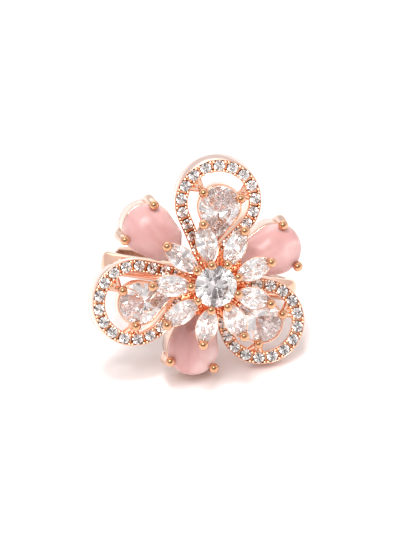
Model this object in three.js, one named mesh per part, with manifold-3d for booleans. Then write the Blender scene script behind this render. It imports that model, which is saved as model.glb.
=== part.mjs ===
// Cocktail ring: a six-petal flower head on a D-shaped shank, lying on its side.
// Millimetres, +Z up. The ring rests on its lowest petals and the edge of its shank.
//
// Shank frame: x across the finger, y along the finger, z outwards through the head,
// origin at the centre of the finger hole.
// Head frame: x across, y towards the top petal, z outwards, origin at the centre stone's table.
// Petal frame: the head frame turned about z so that x runs along the petal.

import * as THREE from 'three';
import Module from 'manifold-3d';
import { mergeVertices } from 'three/addons/utils/BufferGeometryUtils.js';

const wasm = await Module();
wasm.setup();

// ---------------------------------------------------------------- driving dimensions

const GAP = 0.05; // clearance between touching pieces
const DEG = Math.PI / 180;

// resting pose: shank frame to world
const REST_LEAN = 67.775;
const REST_ROLL = 18.401;
const REST_TURN = -7.35;

// shank
const BORE_RADIUS = 9.2;
const SHANK_WALL = 1.6;
const SHANK_WIDTH_BAR = 2.5;
const SHANK_WIDTH_SHOULDER = 2.8;
const SHANK_WIDTH_BACK = 2.4;
const SHANK_BEVEL = 0.35;
const SHOULDER_HALF = 12.43; // half the width across the shoulders, outside
const SHOULDER_RADIUS = 2.8;
const BAR_TOP = 10.5; // height of the flat bar over the finger
const HEAD_HEIGHT = 23.6; // centre stone's table above the finger hole's centre
const HEAD_NOD = 3.7; // the head leans this far forward along the finger
const HEAD_OFFSET = [-0.66, 0.2]; // the head sits a little to one side of the shank

// stones (length along the petal, width across it)
const CENTRE = { radius: 2.5, girdle: -0.75, crown: 0.75, depth: 2.15 };
const MARQUISE = { length: 5.0, width: 2.5, crown: 0.38, depth: 1.0, count: 9, first: 30 };
const MARQUISE_SEAT = { radial: 5.1, height: -1.92, slope: 12.8 };
const PEAR = { outer: 8.87, tip: 4.75, radius: 2.5, tipRadius: 0.38, girdle: -7.1, crown: 0.7, depth: 2.0 };
const CABOCHON = {
  outer: 9.15,
  radius: 3.12,
  cheek: [6.4, 1.3, 1.1], // a circle at either side that fills the outline out
  tip: 4.6,
  tipRadius: 0.5,
  girdle: -8.0,
  dome: 2.3,
  base: 0.35,
};
const GIRDLE = 0.08; // height of a cut stone's edge
const CULET = 0.04; // share of the outline left at a cut stone's point

// pavé halo
const HALO = { outer: 9.1, tip: 3.3, radius: 4.5, tipRadius: 1.3, top: -8.5, depth: 2.1, lean: 0.2 };
const HALO_TILT = 6.5; // the halo rises outwards
const HALO_PIVOT = 8.5;
const RAIL_HALF = 0.79;
const CHANNEL_HALF = 0.62;
const CHANNEL_DEPTH = 0.65;
const PAVE = { radius: 0.655, count: 19, crown: 0.18, depth: 0.42 };

// settings
const RIM = 0.18; // wall of a stone setting
const PRONG = { radius: 0.42, ball: 0.6 };
const SMALL_PRONG = { radius: 0.34, ball: 0.5 };
const CENTRE_PRONGS = { radial: 2.92, height: -0.92, foot: 1.7, footHeight: -4.6 };
const MARQUISE_PRONG = { radial: 7.34, height: -1.92 };
const PEAR_PRONG = { radial: 10.3, half: 2.3, height: -6.8 };
const CABOCHON_PRONG = { radial: 10.78, half: 2.72, height: -6.6, out: 0.3, side: 0.12, radius: 0.5 };
const PEAR_DEPTH = 1.75; // depth of a clear petal's setting below its stone's girdle
const CABOCHON_RIM = 0.12;
const HEAD_BACK = -12.0; // back plane of the petals
const HUB = { radius: 1.3, top: -4.9 };
const STAR = { ring: 2.5, reach: 6.2, width: 1.5, thickness: 0.7 };

const PEAR_ANGLES = [90, 210, 330];
const CABOCHON_ANGLES = [30, 150, 270];

// ---------------------------------------------------------------- materials

const gold = new THREE.MeshStandardMaterial({ color: 0xeeb08c, roughness: 0.18, metalness: 1 });
const clear = new THREE.MeshStandardMaterial({ color: 0xf4f2f4, roughness: 0.02, metalness: 0 });
const pink = new THREE.MeshStandardMaterial({ color: 0xeeb4b2, roughness: 0.12, metalness: 0 });

// ---------------------------------------------------------------- outlines

// Closed convex outline around circles [x, y, r] given counter-clockwise.
function belt(circles, step = 24) {
  const count = circles.length;
  const tangent = (a, b) => {
    const dx = b[0] - a[0];
    const dy = b[1] - a[1];
    return Math.atan2(dy, dx) - Math.acos((a[2] - b[2]) / Math.hypot(dx, dy));
  };
  const points = [];
  circles.forEach((circle, i) => {
    const start = tangent(circles[(i + count - 1) % count], circle);
    let end = tangent(circle, circles[(i + 1) % count]);
    while (end < start) end += 2 * Math.PI;
    const parts = Math.max(2, Math.round((end - start) / (step * DEG)));
    for (let k = 0; k <= parts; k += 1) {
      const angle = start + ((end - start) * k) / parts;
      points.push([circle[0] + circle[2] * Math.cos(angle), circle[1] + circle[2] * Math.sin(angle)]);
    }
  });
  return points;
}

// Teardrop pointing at the origin, grown outwards by grow.
function tear(stone, grow = 0, step = 24) {
  const [along, aside, radius] = stone.cheek ?? [];
  return belt([
    [stone.outer, 0, stone.radius + grow],
    ...(stone.cheek ? [[along, aside, radius + grow]] : []),
    [stone.tip, 0, stone.tipRadius + grow],
    ...(stone.cheek ? [[along, -aside, radius + grow]] : []),
  ], step);
}

function round(radius, sides = 18) {
  return Array.from({ length: sides }, (_, i) => {
    const angle = (2 * Math.PI * i) / sides;
    return [radius * Math.cos(angle), radius * Math.sin(angle)];
  });
}

// Pointed oval along x, centred on the origin.
function lens(length, width, parts = 5) {
  const arc = (length * length + width * width) / (4 * width);
  const half = Math.asin(length / 2 / arc);
  const points = [];
  for (const side of [-1, 1]) {
    for (let k = 0; k < parts; k += 1) {
      const angle = -half + (2 * half * k) / parts;
      points.push([-side * arc * Math.sin(angle), side * (arc * Math.cos(angle) - arc + width / 2)]);
    }
  }
  return points;
}

function shrink(points, scale, about = [0, 0]) {
  return points.map(([x, y]) => [about[0] + (x - about[0]) * scale, about[1] + (y - about[1]) * scale]);
}

// ---------------------------------------------------------------- solids

function solidFrom(positions, indices) {
  const geometry = new THREE.BufferGeometry();
  geometry.setAttribute('position', new THREE.Float32BufferAttribute(positions, 3));
  geometry.setIndex(indices);
  return weld(geometry);
}

function weld(geometry) {
  const bare = new THREE.BufferGeometry();
  bare.setAttribute('position', geometry.getAttribute('position').clone());
  if (geometry.index) bare.setIndex(geometry.index.clone());
  const merged = mergeVertices(bare, 1e-4);
  return new wasm.Manifold(new wasm.Mesh({
    numProp: 3,
    vertProperties: new Float32Array(merged.attributes.position.array),
    triVerts: new Uint32Array(merged.index.array),
  }));
}

// Solid through a stack of outlines, each { z, points }, from the lowest to the highest.
function loft(levels) {
  const sides = levels[0].points.length;
  const positions = [];
  const indices = [];
  levels.forEach(({ z, points }) => points.forEach(([x, y]) => positions.push(x, y, z)));
  for (let i = 0; i + 1 < levels.length; i += 1) {
    for (let j = 0; j < sides; j += 1) {
      const next = (j + 1) % sides;
      const a = i * sides + j;
      const b = i * sides + next;
      const c = (i + 1) * sides + next;
      const d = (i + 1) * sides + j;
      indices.push(a, b, c, a, c, d);
    }
  }
  const cap = (level, flip) => {
    const { z, points } = levels[level];
    const mid = points.reduce((sum, p) => [sum[0] + p[0] / sides, sum[1] + p[1] / sides], [0, 0]);
    const hub = positions.length / 3;
    positions.push(mid[0], mid[1], z);
    for (let j = 0; j < sides; j += 1) {
      const a = level * sides + j;
      const b = level * sides + ((j + 1) % sides);
      if (flip) indices.push(hub, b, a);
      else indices.push(hub, a, b);
    }
  };
  cap(0, true);
  cap(levels.length - 1, false);
  return solidFrom(positions, indices);
}

const prism = (points, low, high) => loft([{ z: low, points }, { z: high, points }]);

// Cut stone: a table, a crown, a thin girdle and a pavilion that runs down to a small culet.
function gem(points, centre, stone, grow = 0, table = 0.58) {
  return loft([
    { z: -stone.depth - grow, points: shrink(points, CULET, centre) },
    { z: -GIRDLE / 2 - grow, points },
    { z: GIRDLE / 2 + grow, points },
    { z: stone.crown + grow, points: shrink(points, table, centre) },
  ]);
}

function wire(from, to, radius, endRadius = radius) {
  const a = new THREE.Vector3(...from);
  const b = new THREE.Vector3(...to);
  const run = new THREE.Vector3().subVectors(b, a);
  const geometry = new THREE.CylinderGeometry(endRadius, radius, run.length(), 6);
  const turn = new THREE.Quaternion().setFromUnitVectors(new THREE.Vector3(0, 1, 0), run.clone().normalize());
  geometry.applyQuaternion(turn);
  geometry.translate(...a.clone().add(b).multiplyScalar(0.5).toArray());
  return weld(geometry);
}

function ball(at, radius) {
  return weld(new THREE.SphereGeometry(radius, 7, 4).translate(...at));
}

function prong(foot, tip, size, grow = 0) {
  return wire(foot, tip, size.radius + grow).add(ball(tip, size.ball + grow));
}

function block(size, at) {
  return weld(new THREE.BoxGeometry(...size).translate(...at));
}

function turned(solid, degrees) {
  return solid.rotate([0, 0, degrees]);
}

// The largest body of a cut solid, without the slivers that the cut left.
function mainBody(solid) {
  return solid.decompose().reduce((best, one) => (one.volume() > best.volume() ? one : best));
}

// ---------------------------------------------------------------- shank and hub

// The band is widest at its shoulders, and narrows to the bar and to the back.
function shankWidth(z) {
  const widest = BAR_TOP - SHOULDER_RADIUS;
  const { clamp, lerp } = THREE.MathUtils;
  if (z > widest) {
    return lerp(SHANK_WIDTH_SHOULDER, SHANK_WIDTH_BAR, clamp((z - widest) / SHOULDER_RADIUS, 0, 1));
  }
  return lerp(SHANK_WIDTH_SHOULDER, SHANK_WIDTH_BACK, clamp((widest - z) / (widest + BORE_RADIUS), 0, 1));
}

function shankSolid() {
  const ring = (grow) => belt([
    [0, 0, BORE_RADIUS + grow],
    [SHOULDER_HALF - SHOULDER_RADIUS, BAR_TOP - SHOULDER_RADIUS, SHOULDER_RADIUS - SHANK_WALL + grow],
    [SHOULDER_RADIUS - SHOULDER_HALF, BAR_TOP - SHOULDER_RADIUS, SHOULDER_RADIUS - SHANK_WALL + grow],
  ], 10);
  const shape = new THREE.Shape(ring(SHANK_WALL - SHANK_BEVEL).map(([x, y]) => new THREE.Vector2(x, y)));
  shape.holes.push(new THREE.Path(ring(SHANK_BEVEL).reverse().map(([x, y]) => new THREE.Vector2(x, y))));
  const geometry = new THREE.ExtrudeGeometry(shape, {
    depth: SHANK_WIDTH_SHOULDER - 2 * SHANK_BEVEL,
    bevelThickness: SHANK_BEVEL,
    bevelSize: SHANK_BEVEL,
    bevelSegments: 1,
    steps: 1,
  });
  geometry.translate(0, 0, SHANK_BEVEL - SHANK_WIDTH_SHOULDER / 2);
  geometry.rotateX(90 * DEG); // outline's y becomes the shank frame's z
  const at = geometry.getAttribute('position');
  for (let i = 0; i < at.count; i += 1) {
    at.setY(i, (at.getY(i) * shankWidth(at.getZ(i))) / SHANK_WIDTH_SHOULDER);
  }
  return weld(geometry);
}

function hubSolid(grow = 0) {
  return prism(round(HUB.radius + grow, 16), HEAD_BACK - grow, HUB.top + grow);
}

function starSolid() {
  const low = HEAD_BACK - STAR.thickness;
  let star = prism(round(STAR.ring, 24), low, HEAD_BACK - GAP);
  for (const angle of CABOCHON_ANGLES) {
    const arm = block([STAR.reach, STAR.width, STAR.thickness - GAP],
      [STAR.reach / 2, 0, HEAD_BACK - STAR.thickness / 2 - GAP / 2]);
    star = star.add(turned(arm, angle));
  }
  return star;
}

// Wedge between the flat bar and the tilted star, in the head frame.
function saddleSolid() {
  const low = BAR_TOP + GAP - HEAD_HEIGHT;
  return block([5.2, 2.2, 1.6], [0, 0, low + 0.8])
    .rotate([-HEAD_NOD, 0, 0])
    .subtract(block([20, 20, 4], [0, 0, HEAD_BACK - STAR.thickness - GAP + 2]));
}

// ---------------------------------------------------------------- centre stone and marquises

function centreStoneSolid(grow = 0) {
  const points = round(CENTRE.radius + grow, 16);
  return gem(points, [0, 0], CENTRE, grow, 0.56).translate([0, 0, CENTRE.girdle]);
}

function centreProngs(grow = 0) {
  let prongs = null;
  for (let i = 0; i < MARQUISE.count; i += 1) {
    const one = turned(prong(
      [CENTRE_PRONGS.foot, 0, CENTRE_PRONGS.footHeight],
      [CENTRE_PRONGS.radial, 0, CENTRE_PRONGS.height], SMALL_PRONG, grow,
    ), MARQUISE.first + (360 / MARQUISE.count) * i);
    prongs = prongs ? prongs.add(one) : one;
  }
  return prongs;
}

function centreCone(grow = 0) {
  return loft([
    { z: HUB.top + GAP - grow, points: round(1.5 + grow) },
    { z: -1.9, points: round(2.42 + grow) },
    { z: -0.95 + grow, points: round(2.42 + grow) },
  ]);
}

function centreBasketSolid() {
  return centreCone()
    .subtract(prism(round(1.0), HUB.top - 1, 0))
    .add(centreProngs())
    .subtract(centreStoneSolid(GAP));
}

function marquiseStoneSolid(grow = 0) {
  const points = lens(MARQUISE.length + 3 * grow, MARQUISE.width + 2 * grow);
  return gem(points, [0, 0], MARQUISE, grow, 0.6);
}

// Cup in its own frame: the stone's girdle is the plane z = 0.
function marquiseCupSolid() {
  const rim = lens(MARQUISE.length + 3 * RIM, MARQUISE.width + 2 * RIM);
  const well = lens(MARQUISE.length - 0.5, MARQUISE.width - 0.35);
  const outside = loft([
    { z: -2.1, points: shrink(rim, 0.55, [-0.4, 0]) },
    { z: 0.1, points: rim },
  ]);
  const inside = loft([
    { z: -2.3, points: shrink(well, 0.42, [-0.4, 0]) },
    { z: 0.3, points: well },
  ]);
  const foot = [MARQUISE_PRONG.radial - MARQUISE_SEAT.radial - 0.55, 0, -1.7];
  const tip = marquiseLocal([MARQUISE_PRONG.radial, 0, MARQUISE_PRONG.height]);
  return outside
    .subtract(inside)
    .add(prong(foot, tip, PRONG).subtract(inside))
    .subtract(marquiseStoneSolid(GAP));
}

// Petal frame to the tilted frame of a marquise.
function marquiseLocal(point) {
  const seat = new THREE.Vector3(MARQUISE_SEAT.radial, 0, MARQUISE_SEAT.height);
  const turn = new THREE.Quaternion().setFromAxisAngle(new THREE.Vector3(0, 1, 0), -MARQUISE_SEAT.slope * DEG);
  return new THREE.Vector3(...point).sub(seat).applyQuaternion(turn).toArray();
}

function seated(solid, angle) {
  return solid
    .rotate([0, MARQUISE_SEAT.slope, 0])
    .translate([MARQUISE_SEAT.radial, 0, MARQUISE_SEAT.height])
    .rotate([0, 0, angle]);
}

// ---------------------------------------------------------------- clear petals

function tilted(solid) {
  return solid
    .translate([-HALO_PIVOT, 0, -HALO.top])
    .rotate([0, -HALO_TILT, 0])
    .translate([HALO_PIVOT, 0, HALO.top]);
}

function haloFrameSolid(grow = 0) {
  const low = HALO.top - HALO.depth;
  const level = (z, half) => {
    const lean = (HALO.lean * (HALO.top - z)) / HALO.depth;
    return { z, points: tear(HALO, half, 18).map(([x, y]) => [x + lean, y]) };
  };
  const outside = loft([level(low - grow, RAIL_HALF + grow), level(HALO.top + grow, RAIL_HALF + grow)]);
  const inside = loft([level(low - 1, -RAIL_HALF - grow), level(HALO.top + 1, -RAIL_HALF - grow)]);
  if (grow > 0) return outside.subtract(inside);
  const channel = prism(tear(HALO, CHANNEL_HALF, 18), HALO.top - CHANNEL_DEPTH, HALO.top + 1)
    .subtract(prism(tear(HALO, -CHANNEL_HALF, 18), HALO.top - 2, HALO.top + 2));
  return outside.subtract(inside).subtract(channel);
}

// Stations evenly spaced along the halo's centre line, a pair beside the outer end.
function haloStations() {
  const line = tear(HALO, 0, 3);
  const start = line.reduce((best, p, i) => (p[0] > line[best][0] ? i : best), 0);
  const loop = line.slice(start).concat(line.slice(0, start + 1)).map(([x, y]) => new THREE.Vector3(x, y, 0));
  const path = new THREE.CurvePath();
  for (let i = 0; i + 1 < loop.length; i += 1) path.add(new THREE.LineCurve3(loop[i], loop[i + 1]));
  return Array.from({ length: PAVE.count }, (_, i) => path.getPointAt((i + 0.5) / PAVE.count));
}

function paveRowSolid() {
  const low = HALO.top - CHANNEL_DEPTH + GAP;
  const half = CHANNEL_HALF - GAP;
  let row = prism(tear(HALO, half, 18), low, low + 0.2)
    .subtract(prism(tear(HALO, -half, 18), low - 1, low + 1));
  const stone = loft([
    { z: -PAVE.depth - 0.1, points: round(0.3, 6) },
    { z: GAP, points: round(half, 6) },
    { z: GAP + 0.02, points: round(PAVE.radius, 6) },
    { z: GAP + PAVE.crown, points: round(PAVE.radius * 0.55, 6) },
  ]);
  for (const at of haloStations()) row = row.add(stone.translate([at.x, at.y, HALO.top]));
  return row;
}

function pearStoneSolid(grow = 0) {
  return gem(tear(PEAR, grow), [PEAR.outer - 0.6, 0], PEAR, grow).translate([0, 0, PEAR.girdle]);
}

function pearBasketSolid() {
  const low = PEAR.girdle - PEAR_DEPTH;
  const wall = prism(tear(PEAR, RIM), low, PEAR.girdle + 0.12)
    .subtract(prism(tear(PEAR, -0.15), low - 1, PEAR.girdle + 1));
  let basket = wall;
  const clearOf = prism(tear(PEAR, -0.15), low - 1, PEAR.girdle - 0.5);
  for (const side of [-1, 1]) {
    const tip = [PEAR_PRONG.radial, side * PEAR_PRONG.half, PEAR_PRONG.height];
    const foot = [PEAR_PRONG.radial + 0.15, side * (PEAR_PRONG.half + 0.1), low];
    basket = basket.add(prong(foot, tip, PRONG).subtract(clearOf));
    const out = [PEAR_PRONG.radial + 1.0, side * (PEAR_PRONG.half + 1.1), HALO.top - 0.6];
    basket = basket.add(wire([tip[0], tip[1], low + 0.35], out, 0.34));
  }
  return basket.subtract(pearStoneSolid(GAP));
}

// ---------------------------------------------------------------- pink petals

function cabochonSolid(grow = 0) {
  const centre = [CABOCHON.outer - 0.9, 0];
  const outline = tear(CABOCHON, grow);
  const steps = [0, 30, 58];
  const dome = steps.map((angle) => ({
    z: CABOCHON.dome * Math.sin(angle * DEG) + grow,
    points: shrink(outline, Math.cos(angle * DEG), centre),
  }));
  dome.push({ z: CABOCHON.dome + grow, points: shrink(outline, 0.12, centre) });
  return loft([{ z: -CABOCHON.base - grow, points: outline }, ...dome]).translate([0, 0, CABOCHON.girdle]);
}

function cabochonBasketSolid() {
  const seat = CABOCHON.girdle - CABOCHON.base;
  let basket = prism(tear(CABOCHON, CABOCHON_RIM), HEAD_BACK, seat + 0.2)
    .subtract(prism(tear(CABOCHON, -0.5), HEAD_BACK - 1, 0));
  for (const side of [-1, 1]) {
    const tip = [CABOCHON_PRONG.radial, side * CABOCHON_PRONG.half, CABOCHON_PRONG.height];
    const foot = [
      CABOCHON_PRONG.radial + CABOCHON_PRONG.out,
      side * (CABOCHON_PRONG.half + CABOCHON_PRONG.side),
      HEAD_BACK + 0.35,
    ];
    basket = basket.add(prong(foot, tip, { radius: CABOCHON_PRONG.radius, ball: PRONG.ball }));
  }
  return basket.subtract(cabochonSolid(GAP));
}

// ---------------------------------------------------------------- assembly

function meshOf(solid, name, material) {
  const { vertProperties, triVerts, numProp } = mainBody(solid).getMesh();
  const geometry = new THREE.BufferGeometry();
  const positions = [];
  for (let i = 0; i < vertProperties.length; i += numProp) {
    positions.push(vertProperties[i], vertProperties[i + 1], vertProperties[i + 2]);
  }
  geometry.setAttribute('position', new THREE.Float32BufferAttribute(positions, 3));
  geometry.setIndex(Array.from(triVerts));
  geometry.computeVertexNormals();
  const mesh = new THREE.Mesh(geometry, material);
  mesh.name = name;
  return mesh;
}

function petalGroup(angle) {
  const group = new THREE.Group();
  group.rotation.z = angle * DEG;
  return group;
}

const head = new THREE.Group();
head.position.set(...HEAD_OFFSET, HEAD_HEIGHT);
head.rotation.x = HEAD_NOD * DEG;

const haloGrown = tilted(haloFrameSolid(GAP)).subtract(tilted(prism(tear(HALO, -RAIL_HALF - GAP), -20, 0)));
const hubGrown = hubSolid(GAP);
const basketCone = centreCone(GAP).add(centreProngs(GAP));

head.add(meshOf(hubSolid(), 'hub_post', gold));
head.add(meshOf(centreBasketSolid(), 'centre_basket', gold));
head.add(meshOf(centreStoneSolid(), 'centre_stone', clear));

for (let i = 0; i < MARQUISE.count; i += 1) {
  const angle = MARQUISE.first + (360 / MARQUISE.count) * i;
  const cup = seated(marquiseCupSolid(), angle).subtract(basketCone);
  const stone = seated(marquiseStoneSolid(), angle).subtract(basketCone);
  head.add(meshOf(cup, `marquise_cup_${i + 1}`, gold));
  head.add(meshOf(stone, `marquise_stone_${i + 1}`, clear));
}

let star = starSolid();
let saddle = saddleSolid();
PEAR_ANGLES.forEach((angle, i) => {
  const petal = petalGroup(angle);
  const frame = tilted(haloFrameSolid()).subtract(hubGrown);
  const basket = tilted(pearBasketSolid()).subtract(haloGrown).subtract(hubGrown);
  petal.add(meshOf(frame, `halo_frame_${i + 1}`, gold));
  petal.add(meshOf(tilted(paveRowSolid()), `pave_row_${i + 1}`, clear));
  petal.add(meshOf(basket, `pear_basket_${i + 1}`, gold));
  petal.add(meshOf(tilted(pearStoneSolid()), `pear_stone_${i + 1}`, clear));
  head.add(petal);
  star = star.subtract(turned(haloGrown, angle));
  saddle = saddle.subtract(turned(haloGrown, angle));
});
head.add(meshOf(star.subtract(hubGrown), 'back_star', gold));
head.add(meshOf(saddle, 'saddle', gold));

CABOCHON_ANGLES.forEach((angle, i) => {
  const petal = petalGroup(angle);
  petal.add(meshOf(cabochonBasketSolid(), `cabochon_basket_${i + 1}`, gold));
  petal.add(meshOf(cabochonSolid(), `cabochon_${i + 1}`, pink));
  head.add(petal);
});

const ring = new THREE.Group();
ring.rotation.set(REST_LEAN * DEG, REST_ROLL * DEG, REST_TURN * DEG, 'ZYX');
ring.add(meshOf(shankSolid(), 'shank', gold));
ring.add(head);

const group = new THREE.Group();
group.add(ring);
group.updateMatrixWorld(true);
const box = new THREE.Box3().setFromObject(group, true);
const middle = box.getCenter(new THREE.Vector3());
ring.position.set(-middle.x, -middle.y, -box.min.z);

export default group;
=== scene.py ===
import math
import random
from itertools import combinations

import bpy
import numpy as np
from mathutils import Matrix, Vector


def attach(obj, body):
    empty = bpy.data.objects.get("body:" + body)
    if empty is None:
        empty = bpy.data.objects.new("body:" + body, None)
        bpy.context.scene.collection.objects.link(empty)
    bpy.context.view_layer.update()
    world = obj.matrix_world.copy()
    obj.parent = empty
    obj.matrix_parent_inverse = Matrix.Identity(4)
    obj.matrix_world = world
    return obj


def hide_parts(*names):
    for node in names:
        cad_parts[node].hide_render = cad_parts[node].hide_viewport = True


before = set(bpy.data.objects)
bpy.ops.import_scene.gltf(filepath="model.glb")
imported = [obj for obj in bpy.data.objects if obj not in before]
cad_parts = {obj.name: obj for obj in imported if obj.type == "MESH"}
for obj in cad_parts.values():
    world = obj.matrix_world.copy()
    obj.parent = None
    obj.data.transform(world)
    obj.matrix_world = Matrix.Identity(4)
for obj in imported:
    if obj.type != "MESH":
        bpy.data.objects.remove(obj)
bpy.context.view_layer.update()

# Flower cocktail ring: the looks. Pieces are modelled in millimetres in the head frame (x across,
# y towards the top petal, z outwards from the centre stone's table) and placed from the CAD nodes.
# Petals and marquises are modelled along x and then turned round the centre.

MM = 0.001

# ---------------------------------------------------------------- marks

# A face's mark is the place of its material in the piece's list: the lists stand under "assembly".
POLISHED, TIP, RECESS, GRAIN_METAL, WALL, SHADE, BRUSHED = range(7)
CRYSTAL, SILVER, GREY, DARK, BLUSH, PALE, BLUE = range(7)
BAND_OUTSIDE, BAND_INSIDE = range(2)

# ---------------------------------------------------------------- driving dimensions (millimetres)

HEAD_NOD = 3.7  # degrees that the head leans against the shank
HEAD_HEIGHT = 23.6  # from the finger hole's middle to the table
HEAD_BACK = -12.0  # where the settings end at the back
SHANK_SHIFT = (0.66, -0.2)  # the shank sits a little to one side of the head and below it
OVERLAP = 0.05  # how far soldered pieces run into one another

BORE_RADIUS = 9.2
SHANK_WALL = 1.6
SHANK_WIDTH_BAR = 2.5
SHANK_WIDTH_SHOULDER = 2.8
SHANK_WIDTH_BACK = 2.4
SHOULDER_HALF = 12.43
SHOULDER_RADIUS = 2.8
BAR_TOP = 10.5
SECTION = dict(points=40, widest=0.5, bore=0.35)  # the latter two are offsets from the finger hole
SECTION_POWERS = dict(outside=2 / 3, inside=2 / 6)  # how round the band's section is on either side

PETAL_ANGLES = dict(pear=(90, 210, 330), cabochon=(30, 150, 270))

CENTRE = dict(radius=2.5, girdle=-0.75, crown=0.75, depth=2.15)
MARQUISE = dict(length=5.0, width=2.5, crown=0.38, depth=1.05, count=9, first=30.0)
MARQUISE_SEAT = dict(radial=5.1, height=-1.92, slope=12.8)
PEAR = dict(outer=8.87, tip=4.75, radius=2.5, tip_radius=0.38, girdle=-7.1, crown=0.7, depth=2.05)
PEAR_CULET = PEAR["outer"] - 0.75
CABOCHON = dict(outer=9.15, tip=4.6, radius=3.12, tip_radius=0.5, cheek=(6.4, 1.3, 1.1), girdle=-8.0,
                dome=2.3, base=0.35)
CABOCHON_EDGE = ((0.9, 1.0), (0.97, 1.0), (0.995, 0.7))  # share of the outline, share of the base's depth
DOME = dict(middle=CABOCHON["outer"] - 0.9, steps=28, fullness=0.92, top=0.012)
PAVE = dict(radius=0.655, count=19, crown=0.18, depth=0.62, girdle=-0.04)

# How the stones are cut.
CUT = dict(table=0.56, rim=0.06, culet=0.985, upper=1.17, lower=1.02, star=0.62, halves=(0.25, 0.75))
MARQUISE_TABLE = 0.58
MARQUISE_MAINS = (0, 52, 90, 128, 180, 232, 270, 308)
PEAR_MAINS = (0, 45, 90, 128, 180, 232, 270, 315)
PEAR_TIP_GIRDLE = (150, 160, 170, 190, 200, 210)
# Back faces of the stones get mirror foils; the grey, dark, blush, pale and blue ones are painted
# reflections and painted shade.
CENTRE_BACKS = (GREY, GREY, GREY, GREY, GREY, GREY, DARK, GREY)
MARQUISE_BACKS = (PALE, GREY, PALE, GREY, PALE, GREY, GREY, PALE)
PEAR_BACKS = (BLUSH, GREY, GREY, BLUSH, BLUE, PALE, GREY, BLUSH)
PAVE_BACKS = (
    (DARK, SILVER, GREY, GREY, DARK, SILVER, DARK, GREY),
    (GREY, DARK, SILVER, DARK, GREY, DARK, SILVER, DARK),
    (GREY, DARK, DARK, GREY, SILVER, DARK, GREY, SILVER),
    (DARK, GREY, SILVER, DARK, DARK, GREY, GREY, SILVER),
)
PAVE_SEED = 11

# The halo: a rail with a sunk bed. Plates with a grain at either end stand between its stones.
HALO = dict(outer=9.1, tip=3.3, radius=4.5, tip_radius=1.3, top=-8.5, depth=2.1, lean=0.2)
HALO_TILT = 6.5
HALO_PIVOT = 8.5
RAIL_HALF = 0.79
RAIL_RIM = dict(width=0.15, bevel=0.04, outer_drop=0.08, inner_drop=0.06)
BED = -0.68
BRIDGE = dict(pitch=1.6, half=0.64, step=0.16, points=9, seat=0.665, shoulder=-0.38, top=-0.3, taper=0.72)
GRAIN = dict(radius=0.22, offset=0.55, apart=0.2, height=0.08)
GRAIN_MESH = dict(rows=8, sides=14)

# Walls as (offset, height): the pear's heights count from its girdle, the cabochon's from its seat.
PEAR_WALL = ((-0.12, -1.75), (0.20, -1.75), (0.26, -0.2), (0.24, 0.10), (0.08, 0.12), (0.02, -0.06),
             (-0.06, -0.5))
PEAR_FOOT = PEAR["girdle"] - 1.75
CABOCHON_SEAT = CABOCHON["girdle"] - CABOCHON["base"]
CABOCHON_WALL = ((-0.45, HEAD_BACK), (0.06, HEAD_BACK), (0.08, CABOCHON_SEAT - 0.4),
                 (0.05, CABOCHON_SEAT + 0.16), (-0.06, CABOCHON_SEAT + 0.16), (-0.08, CABOCHON_SEAT - 0.01),
                 (-0.45, CABOCHON_SEAT - 0.01))
CABOCHON_WALL_FACE = 0.03  # offsets beyond this are the outside of the wall
SOFT_EDGE = 0.05
SOFTER_EDGE = 0.07

# Each ring of the marquise cup: how far it grows from the stone, its scale, height and shift along x.
CUP_RINGS = (
    (0.10, 0.50, -2.10, -0.4), (0.10, 0.76, -1.10, 0.0), (0.10, 0.94, -0.35, 0.0), (0.10, 1.0, -0.08, 0.0),
    (0.10, 1.0, 0.05, 0.0), (0.07, 1.0, 0.09, 0.0), (0.02, 1.0, 0.08, 0.0), (0.0, 1.0, 0.03, 0.0),
    (0.0, 0.98, -0.10, 0.0), (-0.05, 0.9, -0.4, 0.0), (-0.05, 0.70, -1.10, 0.0), (-0.05, 0.45, -2.10, -0.4),
)
CUP_GROWTH = (2.6, 2.0)  # what a unit of growth adds to the length and the width
# The cups' inner ends take the recess gold as painted shade.
CUP_SHADE = dict(steps=3, until=0.4)  # the inner end of the outside lies deep between its neighbours

HUB_RADIUS = 1.3
HUB_TOP = -4.9
HUB_CORE = 0.6
HUB_WAIST = 0.12
HUB_EDGE = 0.06

# The turned cup of the centre, as (radius, height).
CENTRE_CUP = ((1.5, HUB_TOP + OVERLAP), (1.62, -4.4), (3.9, -3.9), (4.15, -3.6), (4.1, -3.3), (2.6, -3.05),
              (2.2, -2.6), (2.42, -1.9), (2.44, -1.05), (2.36, -0.98), (2.2, -1.3), (1.0, -2.75),
              (1.0, HUB_TOP + OVERLAP))
# The centre cup's recess takes the recess gold as painted shade.
CENTRE_CUP_RECESS = (0.5, 3.3, -5.0, -1.5)
CENTRE_CUP_GRAINS = ((4.15, -3.2, 0.32), (3.5, -2.9, 0.3), (2.95, -2.5, 0.26))  # radius, height, size

STAR = dict(ring=2.5, reach=6.2, width=1.5, thickness=0.7, blend=6)
STAR_TOP = HEAD_BACK - OVERLAP
STAR_BACK = HEAD_BACK - STAR["thickness"]
STAR_EDGE = ((0.6, STAR_BACK), (0.16, STAR_BACK), (0.05, STAR_BACK + 0.06), (0, STAR_BACK + 0.18),
             (0, STAR_TOP - 0.14), (0.05, STAR_TOP - 0.04), (0.14, STAR_TOP), (0.6, STAR_TOP))
SADDLE = dict(length=2.2, width=0.75, corner=0.35)
SADDLE_BEVEL = (0.97, 0.95)

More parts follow.
